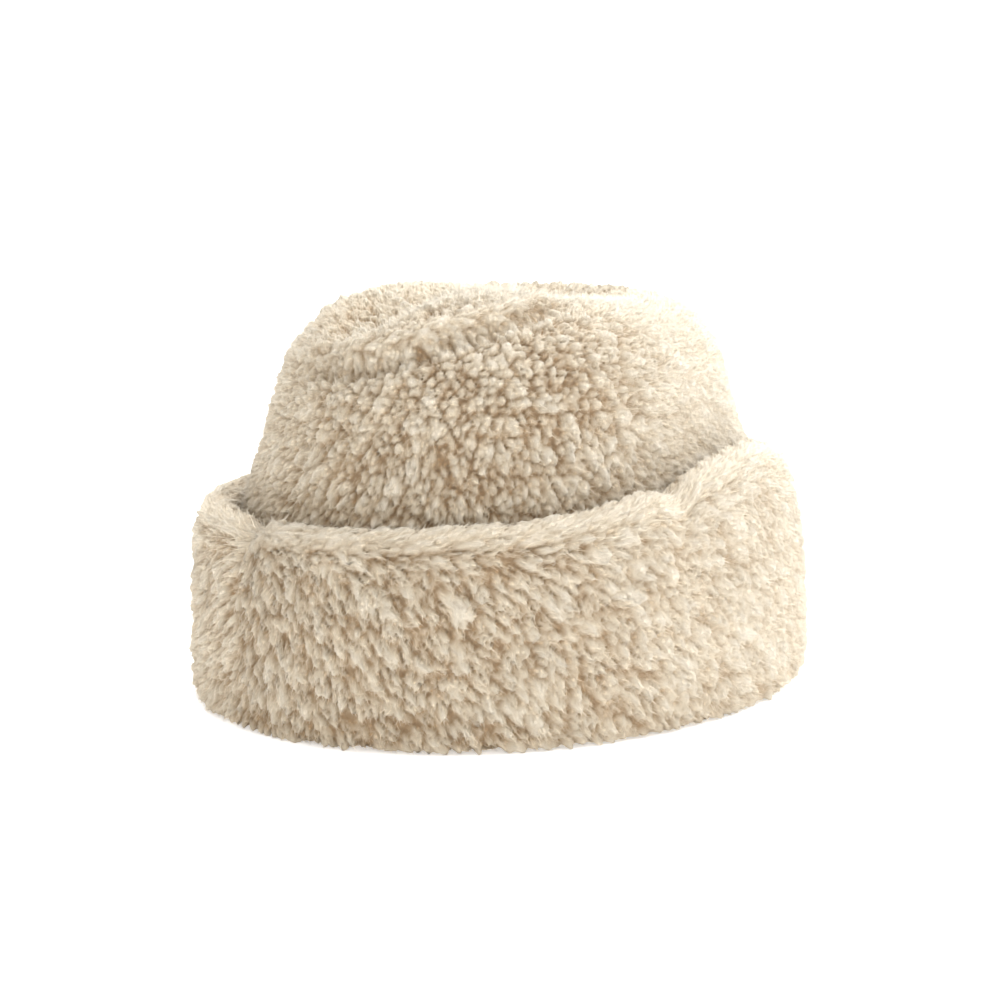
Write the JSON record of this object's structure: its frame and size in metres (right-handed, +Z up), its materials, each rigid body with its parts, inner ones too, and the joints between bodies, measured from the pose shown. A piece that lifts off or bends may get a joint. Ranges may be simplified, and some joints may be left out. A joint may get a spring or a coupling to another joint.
{
  "type": "pile beanie",
  "caption": "Soft beanie of thick curly pile, with a rounded, softly dented crown of sewn gores and a deep turned-up cuff.",
  "frame": {"origin": "middle of the hat's bounding box, on the surface that its folded hem stands on", "axes": "+Z up to the top of the crown, -Y to the front of the hat, +X to the side that is near the viewer in the picture"},
  "size_m": [0.2162, 0.2573, 0.1581],
  "materials": {
    "crown_pile": "curly cream pile on a knitted backing",
    "cuff_pile": "curly cream pile on a knitted backing"
  },
  "bodies": {
    "root": {"crown_front_right": "crown_pile", "crown_back_right": "crown_pile", "crown_back_left": "crown_pile", "crown_front_left": "crown_pile", "cuff_front_right": "cuff_pile", "cuff_back_right": "cuff_pile", "cuff_back_left": "cuff_pile", "cuff_front_left": "cuff_pile"}
  },
  "joints": []
}
